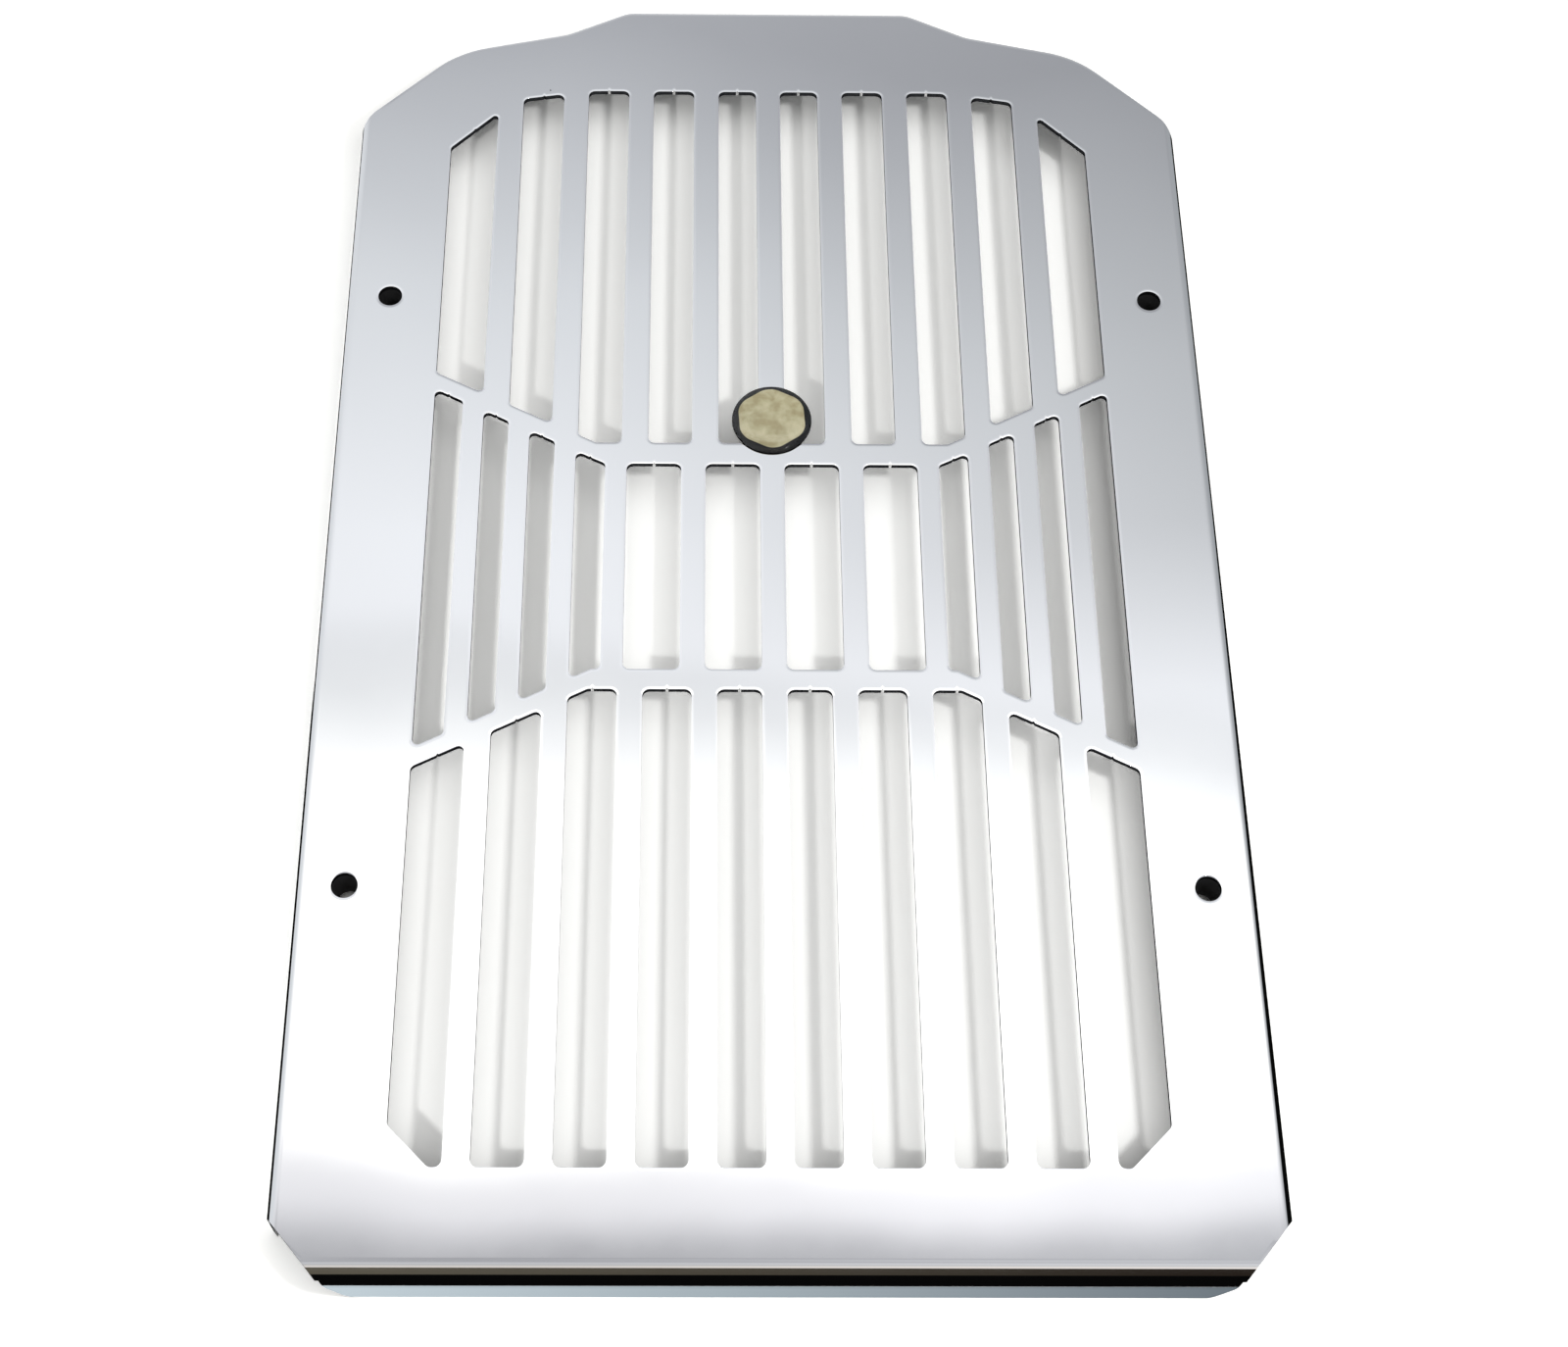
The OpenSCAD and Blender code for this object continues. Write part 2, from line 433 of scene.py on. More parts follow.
@dataclass(frozen=True)
class PrintedFoil(GrainedFinish):
    """Screen-printed vinyl foil: an even ink with a slight mottle, smooth, and without a shine of
    its own under the resin."""

    title: str = "printed vinyl foil"
    light: str = "#050505"
    dark: str = "#020202"
    specular: float = 0.0
    roughness: float = 0.6
    grain_mm: tuple[float, float, float] = (3.2, 3.2, 3.2)
    detail: float = 3.0
    fineness: float = 0.5
    tone_range: tuple[float, float] = (0.35, 0.65)


@dataclass(frozen=True)
class MouldedRubber(GrainedFinish):
    """EPDM rubber, moulded and carbon-black: matt, with a fine sandy skin."""

    title: str = "moulded black rubber"
    light: str = "#1C1C1D"
    dark: str = "#121213"
    roughness: float = 0.75
    grain_mm: tuple[float, float, float] = (0.35, 0.35, 0.35)
    detail: float = 3.0
    fineness: float = 0.55
    relief: float = 0.4
    depth_mm: float = 0.05


@dataclass(frozen=True)
class PouredResin(Finish):
    """Clear polyurethane resin, poured and cured: smooth, with a slightly warm tint. Rays from
    the lamps pass, so that the foil below is lit."""

    title: str = "clear polyurethane resin"
    tint: str = "#FDFCF7"
    shadow_tint: str = "#F6F5F0"
    roughness: float = 0.04
    ior: float = 1.5

    def weave(self, nodes: Nodes, shader: Node, place: Socket) -> Socket:
        """Make the shader clear and let the lamps' rays through.

        Args:
            nodes: The material's nodes.
            shader: Its Principled shader.
            place: Object coordinates in metres, which plain resin has no use for.

        Returns:
            The socket that goes to the surface.
        """
        adjust(
            shader,
            {
                "Base Color": linear(self.tint),
                "Roughness": self.roughness,
                "IOR": self.ior,
                "Transmission Weight": 1.0,
            },
        )
        clear = nodes.add("BsdfTransparent", {"Color": linear(self.shadow_tint)})
        path = nodes.add("LightPath")
        mixed = nodes.add(
            "MixShader",
            links={
                0: path.outputs["Is Shadow Ray"],
                1: shader.outputs["BSDF"],
                2: clear.outputs["BSDF"],
            },
        )
        return mixed.outputs["Shader"]


@dataclass
class GuardSheet:
    """The folded and laser-cut sheet: the CAD solid's own shape with merged faces, softly broken
    front edges and true round folds."""

    half_w: float = 118.5 * MM
    half_l: float = 189.5 * MM
    face_z: float = 14.0 * MM
    thickness: float = 1.5 * MM
    bend_r: float = 5.0 * MM
    # Outer radius that the side folds show once they are ground and buffed.
    shown_r: float = 3.0 * MM
    broken_edge: float = 0.16 * MM
    broken_steps: int = 2
    # Width that buffing rolls over along a cut edge, and how far the mirror leans there, of which
    # a part remains where the edge faces aside.
    rolled_edge: float = 0.85 * MM
    roll_angle: float = math.radians(6.0)
    roll_aside: float = 0.3
    # Length of a nick's slanted wall, and how far its normal may be off the diagonal.
    nick_wall: float = 0.6 * MM
    off_diagonal: float = 0.02
    merge_gap: float = 0.001 * MM
    merge_angle: float = math.radians(0.5)
    near: float = 0.01 * MM
    # Limits on how much of a face's normal points up, or outwards from a fold: 1 is a face square
    # to that direction, and 0 a face along it.
    exactly_level: float = 0.9999
    level: float = 0.999
    level_beside_cut: float = 0.99
    nearly_level: float = 0.95
    facing: float = 0.5
    upright: float = 0.1
    rising: float = 0.05

    def build(self, solid: bpy.types.Object) -> bpy.types.Object:
        """Model the sheet from its CAD node.

        Args:
            solid: The CAD node.

        Returns:
            The finished piece.
        """
        sheet = bpy.data.objects.new("guard_sheet", solid.data.copy())
        bpy.context.scene.collection.objects.link(sheet)
        edit(sheet, "FACE")
        bpy.ops.mesh.select_all(action="SELECT")
        bpy.ops.mesh.customdata_custom_splitnormals_clear()
        bpy.ops.mesh.remove_doubles(threshold=self.merge_gap)
        bpy.ops.mesh.dissolve_limited(angle_limit=self.merge_angle)
        leave_edit()
        self.roll_front_edges(sheet)
        self.break_front_edges(sheet)
        bpy.ops.object.shade_smooth()
        self.round_shading(sheet.data)
        return sheet

    def roll_front_edges(self, sheet: bpy.types.Object) -> None:
        """Inset the flat face by the width that buffing rolls over, and keep the inset level.

        Args:
            sheet: The merged sheet.
        """
        clear_selection(sheet.data)
        for face in sheet.data.polygons:
            on_face = face.center.z > self.face_z - self.near
            face.select = on_face and face.normal.z > self.level
        edit(sheet, "FACE")
        bpy.ops.mesh.inset(thickness=self.rolled_edge, use_even_offset=True, use_boundary=True)
        leave_edit()
        for vertex in sheet.data.vertices:
            if vertex.co.z > self.face_z - self.broken_edge and self.spine(vertex.co) is None:
                vertex.co.z = self.face_z

    def break_front_edges(self, sheet: bpy.types.Object) -> None:
        """Bevel every edge between the polished face and a cut wall.

        Args:
            sheet: The merged sheet.
        """
        mesh = sheet.data
        beside: dict[tuple[int, int], list[bpy.types.MeshPolygon]] = {}
        for face in mesh.polygons:
            for key in face.edge_keys:
                beside.setdefault(key, []).append(face)
        clear_selection(mesh)
        for side in mesh.edges:
            faces = beside.get(side.key, [])
            lowest = min(mesh.vertices[v].co.z for v in side.vertices)
            if lowest < self.face_z - self.near or len(faces) != 2:
                continue
            rises = sorted(abs(face.normal.z) for face in faces)
            side.select = rises[0] < self.upright and rises[1] > self.level_beside_cut
        edit(sheet, "EDGE")
        bpy.ops.mesh.bevel(
            offset=self.broken_edge, segments=self.broken_steps, affect="EDGES", clamp_overlap=True
        )
        leave_edit()

    def zone(self, face: bpy.types.MeshPolygon) -> SheetZone:
        """Tell which zone a face lies in, by its normal and place.

        Args:
            face: A face of the sheet.

        Returns:
            Its zone.
        """
        spine = self.spine(face.center)
        outward = face.normal.dot(spine) if spine else face.normal.z
        if outward > self.facing or (spine is None and face.normal.z > self.rising):
            return SheetZone.POLISHED
        if outward < -self.facing:
            return SheetZone.MILL_BACK
        return SheetZone.POLISHED if self.in_nick(face) else SheetZone.CUT_EDGE

    def in_nick(self, face: bpy.types.MeshPolygon) -> bool:
        """Tell whether a cut wall's face is one of the two short slanted walls of a nick."""
        across, along = abs(face.normal.x), abs(face.normal.y)
        slanted = abs(across - along) < self.off_diagonal and face.normal.y < 0
        return slanted and face.area < self.nick_wall * self.thickness

    def spine(self, place: Vector) -> Vector | None:
        """Give the outward direction of a fold or flange at a place.

        Args:
            place: A point on the sheet.

        Returns:
            The direction square to the sheet's outer face, or None on the flat face.
        """
        rise = max(0.0, place.z - (self.face_z - self.bend_r))
        side = abs(place.x) - (self.half_w - self.bend_r)
        foot = -place.y - (self.half_l - self.bend_r)
        if side > self.near and side >= foot:
            return Vector((math.copysign(side, place.x), 0, rise)).normalized()
        if foot > self.near:
            return Vector((0, -foot, rise)).normalized()
        return None

    def round_shading(self, mesh: bpy.types.Mesh) -> None:
        """Set the normals: level on the face and flanges, round on the folds and broken edges."""
        shading: list[Vector] = []
        for face in mesh.polygons:
            for index in face.vertices:
                shading.append(self.normal_at(face, mesh.vertices[index]))
        mesh.normals_split_custom_set(shading)

    def normal_at(self, face: bpy.types.MeshPolygon, vertex: bpy.types.MeshVertex) -> Vector:
        """Work out the normal of one corner of a face.

        Args:
            face: The face.
            vertex: One of its vertices.

        Returns:
            The normal of the true surface there.
        """
        spine = self.spine(face.center)
        if spine is None:
            rises = face.normal.z > self.rising
            return self.front_normal(face, vertex) if rises else face.normal.copy()
        outward = face.normal.dot(spine)
        if abs(face.normal.z) > self.exactly_level or abs(outward) < self.facing:
            return face.normal.copy()
        here = self.spine(vertex.co) or Vector((0, 0, 1))
        return self.tighten(here) if outward > 0 else -here

    def front_normal(self, face: bpy.types.MeshPolygon, vertex: bpy.types.MeshVertex) -> Vector:
        """Work out the normal of one corner on the front of the flat sheet: level in the middle,
        rolled over a little at a cut edge and round where the edge is broken.

        Args:
            face: The face.
            vertex: One of its vertices.

        Returns:
            The normal of the true surface there.
        """
        aside = Vector((vertex.normal.x, vertex.normal.y, 0))
        if self.on_front_rim(vertex):
            roll = aside.normalized() * math.tan(self.roll_angle)
            return Vector((roll.x * self.roll_aside, roll.y, 1)).normalized()
        if face.normal.z > self.nearly_level or vertex.co.z > self.face_z - self.near:
            return Vector((0, 0, 1))
        if vertex.co.z >= self.face_z - self.broken_edge + self.near:
            return vertex.normal.copy()
        return aside.normalized() if aside.length > self.upright else face.normal.copy()

    def on_front_rim(self, vertex: bpy.types.MeshVertex) -> bool:
        """Tell whether a vertex lies on a cut edge of the flat face, clear of the folds."""
        flat_x, flat_y = self.half_w - self.bend_r, self.half_l - self.bend_r
        leaning = math.hypot(vertex.normal.x, vertex.normal.y)
        if vertex.co.z < self.face_z - self.near or leaning < self.rising:
            return False
        return abs(vertex.co.x) < flat_x - self.rolled_edge and vertex.co.y > -flat_y + self.near

    def tighten(self, outward: Vector) -> Vector:
        """Turn a side fold's outer normal as on the tighter radius that grinding and buffing
        leave: level with the face at first, then faster. The foot fold stays as bent.

        Args:
            outward: The normal of the fold as bent.

        Returns:
            The normal that the polished fold shows.
        """
        if outward.y < 0:
            return outward
        flat = (self.bend_r - self.shown_r) / self.bend_r
        across = min(1.0, max(0.0, (abs(outward.x) - flat) / (1 - flat)))
        return Vector((math.copysign(across, outward.x), 0, math.sqrt(1 - across**2)))

    def dress(self, sheet: bpy.types.Object) -> None:
        """Put the three finishes on the sheet's slots and each face in its zone's slot.

        Args:
            sheet: The finished piece.
        """
        sheet.data.materials.clear()
        for finish in (PolishedStainless(), MillStainless(), LaserCutStainless()):
            sheet.data.materials.append(finish.material())
        for face in sheet.data.polygons:
            face.material_index = self.zone(face).value
        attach(sheet, ROOT)
        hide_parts("guard_plate")


@dataclass
class Badge:
    """The round badge: black foil with a champagne panel, under a poured resin dome."""

    centre_y: float = 44.2 * MM
    foil_top: float = 14.3 * MM
    radius: float = 10.8 * MM
    panel_r: float = 10.1 * MM
    panel_sides: int = 6
    panel_corner: float = 2.8 * MM
    panel_corner_steps: int = 10
    panel_up: float = 0.3 * MM
    panel_turn: float = math.radians(4.0)
    panel_lift: float = 0.04 * MM
    dome_inset: float = 0.05 * MM
    dome_h: float = 1.7 * MM
    dome_power: float = 0.8
    dome_steps: int = 16
    dome_sides: int = 96
    dome_smooth: float = math.radians(50.0)
    # Depth by which the panel and the dome reach into the foil.
    sunk: float = 0.05 * MM

    def panel(self) -> bpy.types.Object:
        """Model the champagne panel: a hexagon with rounded corners, printed a little high and
        stuck on a little askew.

        Returns:
            The finished piece.
        """
        bpy.ops.mesh.primitive_circle_add(
            vertices=self.panel_sides,
            radius=self.panel_r,
            fill_type="NGON",
            location=(0, self.centre_y + self.panel_up, self.foil_top - self.sunk),
            rotation=(0, 0, self.panel_turn),
        )
        panel = bpy.context.active_object
        edit(panel, "VERT")
        bpy.ops.mesh.select_all(action="SELECT")
        bpy.ops.mesh.bevel(
            offset=self.panel_corner, segments=self.panel_corner_steps, affect="VERTICES"
        )
        bpy.ops.mesh.select_all(action="SELECT")
        bpy.ops.mesh.extrude_region_move(
            TRANSFORM_OT_translate={"value": (0, 0, self.sunk + self.panel_lift)}
        )
        bpy.ops.mesh.select_all(action="SELECT")
        bpy.ops.mesh.normals_make_consistent(inside=False)
        settle(panel, "badge_panel")
        champagne = PrintedFoil(
            title="champagne metallic ink",
            light="#BAB599",
            dark="#9A9273",
            roughness=0.35,
            metallic=0.35,
        )
        panel.data.materials.append(champagne.material())
        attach(panel, ROOT)
        return panel

    def dome(self) -> bpy.types.Object:
        """Model the resin dome, nearly flat on top and falling ever faster to its rim.

        Returns:
            The finished piece.
        """
        bpy.ops.mesh.primitive_circle_add(
            vertices=self.dome_sides,
            radius=self.radius - self.dome_inset,
            fill_type="NGON",
            location=(0, self.centre_y, self.foil_top - self.sunk),
        )
        dome = bpy.context.active_object
        edit(dome, "FACE")
        bpy.ops.mesh.select_all(action="SELECT")
        before_r, before_z = 1.0, -self.sunk
        for step in range(self.dome_steps):
            turn = math.radians(90 * step / self.dome_steps)
            ring_r = math.cos(turn) ** self.dome_power
            ring_z = self.dome_h * math.sin(turn) ** self.dome_power
            bpy.ops.mesh.extrude_region_move(
                TRANSFORM_OT_translate={"value": (0, 0, ring_z - before_z)}
            )
            bpy.ops.transform.resize(
                value=(ring_r / before_r, ring_r / before_r, 1),
                center_override=(0, self.centre_y, self.foil_top + ring_z),
            )
            before_r, before_z = ring_r, ring_z
        bpy.ops.mesh.select_all(action="SELECT")
        bpy.ops.mesh.normals_make_consistent(inside=False)
        settle(dome, "badge_resin_dome")
        bpy.ops.object.shade_smooth_by_angle(angle=self.dome_smooth)
        dome.data.materials.append(PouredResin().material())
        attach(dome, ROOT)
        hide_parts("badge_dome")
        return dome

    def dress_foil(self, foil: bpy.types.Object) -> None:
        """Print the foil, which is a CAD node, black."""
        foil.data.materials.clear()
        foil.data.materials.append(PrintedFoil(title="black ink on vinyl foil").material())


@dataclass
class Bushes:
    """The four rubber bushes behind the mounting holes."""

    names: tuple[str, ...] = (
        "bush_upper_left",
        "bush_upper_right",
        "bush_lower_left",
        "bush_lower_right",
    )

    def dress(self, solids: dict[str, bpy.types.Object]) -> None:
        """Give the bushes, which are among the CAD nodes, their rubber."""
        rubber = MouldedRubber().material()
        for name in self.names:
            solids[name].data.materials.clear()
            solids[name].data.materials.append(rubber)


@dataclass(frozen=True)
class Lamp:
    """A small round studio lamp, aimed at the middle of the guard. Its share is how bright it
    alone makes a white floor there, where 1 is full white."""

    name: str
    place: Place
    share: float
    diameter: float

    def hang(self) -> None:
        """Hang the lamp."""
        place = Vector(self.place)
        distance = place.length
        steepness = place.z / distance
        data = bpy.data.lights.new(self.name, "AREA")
        data.shape = "DISK"
        data.size = self.diameter
        data.energy = self.share * math.pi**2 * distance**2 / steepness
        lamp = bpy.data.objects.new(self.name, data)
        bpy.context.scene.collection.objects.link(lamp)
        lamp.location = place
        lamp.rotation_euler = place.to_track_quat("Z", "Y").to_euler()


@dataclass(frozen=True)
class SoftLight:
    """A broad light of the room, brightest in one direction and falling off round it."""

    towards: Place
    strength: float
    tightness: float

    def add_to(self, nodes: Nodes, way: Socket, before: Socket) -> Socket:
        """Add this light to the light of the room so far.

        Args:
            nodes: The world's nodes.
            way: The direction looked in.
            before: Strength of the room's light so far.

        Returns:
            The new strength.
        """
        facing = nodes.add(
            "VectorMath",
            {"operation": "DOT_PRODUCT", 1: tuple(Vector(self.towards).normalized())},
            {0: way},
        )
        lit = nodes.add("Math", {"operation": "MAXIMUM", 1: 0.0}, {0: facing.outputs["Value"]})
        lobe = nodes.add("Math", {"operation": "POWER", 1: self.tightness}, {0: lit.outputs[0]})
        total = nodes.add(
            "Math", {"operation": "MULTIPLY_ADD", 1: self.strength}, {0: lobe.outputs[0], 2: before}
        )
        return total.outputs[0]


class PaintedReflection(Enum):
    """Painted reflections that the studio's cards glow with, for mirrors only: title, colour at the
    left and colour at the right. The black and brown ones paint the dark bands in the folds, and
    the blue-grey one paints the table in shade just in front of the foot.
    """

    # The brown and blue-grey painted reflections are darker to the right, as painted shade.
    BLACK = ("painted black reflection", "#050505", "#050505")
    BROWN = ("painted brown reflection", "#48443B", "#1E1915")
    BLUE_GREY = ("painted blue-grey reflection", "#9FAAB0", "#565E64")


class Stance(Enum):
    """Ways that a card is set: its tilt about X and then its turn about Z, in degrees."""

    LYING = (0.0, 0.0)
    ACROSS = (90.0, 0.0)
    ALONG = (90.0, 90.0)


@dataclass(frozen=True)
class Card:
    """A studio card that only mirror-like surfaces see: a glowing sheet that paints a reflection in
    them. Once it stands, its top edge can lean towards the guard's top end, and the corner at that
    end can be lowered."""

    name: str
    painted_reflection: PaintedReflection
    stance: Stance
    centre_mm: Place
    size_mm: tuple[float, float]
    lean_mm: float = 0.0
    drop_mm: float = 0.0

    def put_up(self, material: bpy.types.Material) -> None:
        """Stand or lay the card.

        Args:
            material: What the card shows.
        """
        bpy.ops.mesh.primitive_plane_add(size=MM, location=Vector(self.centre_mm) * MM)
        card = bpy.context.active_object
        card.scale = (*self.size_mm, 1)
        tilt, turn = self.stance.value
        card.rotation_euler = (math.radians(tilt), 0, math.radians(turn))
        settle(card, self.name)
        self.pull_top(card, (0, self.lean_mm * MM, 0), far_end_only=False)
        self.pull_top(card, (0, 0, -self.drop_mm * MM), far_end_only=True)
        card.data.materials.append(material)
        for view in ("camera", "diffuse", "transmission", "volume_scatter", "shadow"):
            setattr(card, f"visible_{view}", False)

    def pull_top(self, card: bpy.types.Object, by: Place, far_end_only: bool) -> None:
        """Move the card's top corners.

        Args:
            card: The card in its place.
            by: How far to move them.
            far_end_only: Whether only the corner at the guard's top end moves.
        """
        clear_selection(card.data)
        middle = Vector(self.centre_mm) * MM
        for corner in card.data.vertices:
            chosen = corner.co.y > middle.y or not far_end_only
            corner.select = chosen and corner.co.z > middle.z
        edit(card, "VERT")
        bpy.ops.transform.translate(value=by)
        leave_edit()


@dataclass(frozen=True)
class View:
    """A direction that the room is looked at in, as sockets: the direction itself, its height in
    radians and its side."""

    nodes: Nodes
    way: Socket
    height: Socket
    side: Socket


@dataclass
class Room:
    """The room round the guard. The camera sees it white, the table and the cut walls get its
    even light, and the sheet's mirror shows its softbox, ceiling and walls.

    A height is the angle from straight up, in degrees, towards the guard's top edge if positive
    and towards its foot if negative. A side is the X of the direction, from -1 at the left to 1
    at the right.
    """

    ambient: float = 0.147
    soft_lights: tuple[SoftLight, ...] = (
        SoftLight((0, 0.42, 0.91), 0.74, 14.0),
        SoftLight((0, -0.42, 0.91), 2.2, 14.0),
        SoftLight((0.5, 0, 0.87), 1.94, 14.0),
    )
    # Heights and the tones that the mirror shows there. The white stretch is the softbox, the
    # greys above it the ceiling, those below it the dark end of the room.
    tones: tuple[tuple[float, str], ...] = (
        (-90.0, "#7E8083"),
        (-18.0, "#ADA9A5"),
        (-13.0, "#BFBAB6"),
        (-4.0, "#9B9C9E"),
        (3.0, "#AAABAF"),
        (14.4, "#8C8D91"),
        (15.0, "#A9A9AD"),
        (15.5, "#CBCBCF"),
        (16.3, "#D2D2D5"),
        (17.2, "#FFFFFF"),
        (24.4, "#FFFFFF"),
        (26.6, "#D4D6D8"),
        (27.8, "#BCBEC1"),
        (28.8, "#C7C9CD"),
        (36.5, "#AEB1B5"),
        (43.0, "#888A8F"),
        (60.0, "#B4B6B9"),
        (90.0, "#7E8083"),
    )
    # The tones wander up and down by this many degrees, in clouds of this fineness.
    drift: float = 1.0
    cloud_scale: float = 9.0
    # The softbox's far edge is slanted: this many degrees lower at the right, reached between
    # these heights and between these sides.
    slant: float = 2.2
    slant_heights: tuple[float, float] = (19.0, 23.0)
    slant_sides: tuple[float, float] = (-0.05, 0.22)
    # Away from the even side, up to the ends, the light changes by these parts of the gain for
    # each unit of side: to the right it grows below the first of these heights and falls above
    # the second.
    change: tuple[float, float] = (0.9, -1.1)
    change_heights: tuple[float, float] = (26.2, 31.0)
    even_side: float = 0.03
    change_ends: tuple[float, float] = (-0.08, 0.2)
    # Between these distances aside the room gives way to its walls, which blend into each other
    # across the middle.
    wall_start: tuple[float, float] = (0.12, 0.75)
    left_wall: str = "#B4B7BB"
    right_wall: str = "#84878B"
    wall_blend: float = 0.3

    def paint(self) -> None:
        """Paint the room on the scene's world."""
        world = bpy.data.worlds.new("studio room")
        bpy.context.scene.world = world
        world.use_nodes = True
        world.node_tree.nodes.clear()
        nodes = Nodes(world.node_tree)
        way = nodes.add("TexCoord").outputs["Generated"]
        path = nodes.add("LightPath")
        white = nodes.add("Background", {"Color": WHITE, "Strength": 1.0})
        lit = nodes.add(
            "MixShader",
            links={
                0: path.outputs["Is Glossy Ray"],
                1: self.even_light(nodes, way),
                2: self.mirrored(nodes, way),
            },
        )
        seen = nodes.add(
            "MixShader",
            links={
                0: path.outputs["Is Camera Ray"],
                1: lit.outputs["Shader"],
                2: white.outputs["Background"],
            },
        )
        nodes.add("OutputWorld", links={"Surface": seen.outputs["Shader"]})

    def even_light(self, nodes: Nodes, way: Socket) -> Socket:
        """Add the light that the room throws on all that is no mirror.

        Args:
            nodes: The world's nodes.
            way: The direction looked in.

        Returns:
            The shader's socket.
        """
        base = nodes.add("Value")
        base.outputs[0].default_value = self.ambient
        light = base.outputs[0]
        for lobe in self.soft_lights:
            light = lobe.add_to(nodes, way, light)
        even = nodes.add("Background", {"Color": WHITE}, {"Strength": light})
        return even.outputs["Background"]

    def mirrored(self, nodes: Nodes, way: Socket) -> Socket:
        """Add what the sheet's mirror shows of the room.

        Args:
            nodes: The world's nodes.
            way: The direction looked in.

        Returns:
            The shader's socket.
        """
        apart = nodes.add("SeparateXYZ", links={"Vector": way})
        height = nodes.add("Math", {"operation": "ARCSINE"}, {0: apart.outputs["Y"]})
        view = View(nodes, way, height.outputs[0], apart.outputs["X"])
        overhead = nodes.add(
            "Background", links={"Color": self.tone_at(view), "Strength": self.strength_at(view)}
        )
        aside = nodes.add("Math", {"operation": "ABSOLUTE"}, {0: view.side})
        to_wall = nodes.add(
            "MapRange",
            {"From Min": self.wall_start[0], "From Max": self.wall_start[1]},
            {"Value": aside.outputs[0]},
        )
        whole = nodes.add(
            "MixShader",
            links={
                0: to_wall.outputs["Result"],
                1: overhead.outputs["Background"],
                2: self.walls(view),
            },
        )
        return whole.outputs["Shader"]

    def tone_at(self, view: View) -> Socket:
        """Look up the tone by height, with the clouds' drift and the slant of the far edge.

        Args:
            view: The direction looked in.

        Returns:
            The colour's socket.
        """
        nodes = view.nodes
        clouds = nodes.add(
            "TexNoise",
            {"Scale": self.cloud_scale, "Detail": 2.0, "Roughness": 0.45},
            {"Vector": view.way},
        )
        drift = nodes.add(
            "MapRange",
            {"To Min": math.radians(-self.drift), "To Max": math.radians(self.drift)},
            {"Value": clouds.outputs["Fac"]},
        )
        start, full = (math.radians(angle) for angle in self.slant_heights)
        slant = nodes.add(
            "MapRange",
            {"From Min": start, "From Max": full, "To Max": math.radians(self.slant)},
            {"Value": view.height},
        )
        to_right = nodes.add(
            "MapRange",
            {"From Min": self.slant_sides[0], "From Max": self.slant_sides[1]},
            {"Value": view.side},
        )
        shift = nodes.add(
            "Math",
            {"operation": "MULTIPLY_ADD"},
            {0: slant.outputs["Result"], 1: to_right.outputs["Result"], 2: drift.outputs["Result"]},
        )
        shifted = nodes.add("Math", {"operation": "ADD"}, {0: view.height, 1: shift.outputs[0]})
        lowest, highest = self.tones[0][0], self.tones[-1][0]
        along = nodes.add(
            "MapRange",
            {"From Min": math.radians(lowest), "From Max": math.radians(highest)},
            {"Value": shifted.outputs[0]},
        )
        ramp = nodes.add("ValToRGB", links={"Fac": along.outputs["Result"]})
        stops = ramp.color_ramp.elements
        stops.remove(stops[-1])
        for number, (height, tone) in enumerate(self.tones):
            position = (height - lowest) / (highest - lowest)
            stop = stops[0] if number == 0 else stops.new(position)
            stop.position = position
            stop.color = linear(tone)
        return ramp.outputs["Color"]

    def strength_at(self, view: View) -> Socket:
        """Work out how bright the room is there, which changes from side to side.

        Args:
            view: The direction looked in.

        Returns:
            The strength's socket.
        """
        nodes = view.nodes
        start, full = (math.radians(angle) for angle in self.change_heights)
        change = nodes.add(
            "MapRange",
            {
                "From Min": start,
                "From Max": full,
                "To Min": MIRROR_GAIN * self.change[0],
                "To Max": MIRROR_GAIN * self.change[1],
            },
            {"Value": view.height},
        )
        from_even = nodes.add("Math", {"operation": "SUBTRACT", 1: self.even_side}, {0: view.side})
        held = nodes.add(
            "Clamp",
            {"Min": self.change_ends[0], "Max": self.change_ends[1]},
            {"Value": from_even.outputs[0]},
        )
        strength = nodes.add(
            "Math",
            {"operation": "MULTIPLY_ADD", 2: MIRROR_GAIN},
            {0: held.outputs["Result"], 1: change.outputs["Result"]},
        )
        return strength.outputs[0]

    def walls(self, view: View) -> Socket:
        """Add the walls at the left and the right, which the folds show.

        Args:
            view: The direction looked in.

        Returns:
            The shader's socket.
        """
        nodes = view.nodes
        to_right = nodes.add(
            "MapRange",
            {"From Min": -self.wall_blend, "From Max": self.wall_blend},
            {"Value": view.side},
        )
        tone = nodes.add(
            "Mix",
            {"data_type": "RGBA", FIRST: linear(self.left_wall), SECOND: linear(self.right_wall)},
            {"Factor": to_right.outputs["Result"]},
        )
        wall = nodes.add("Background", {"Strength": MIRROR_GAIN}, {"Color": tone.outputs[BLENDED]})
        return wall.outputs["Background"]


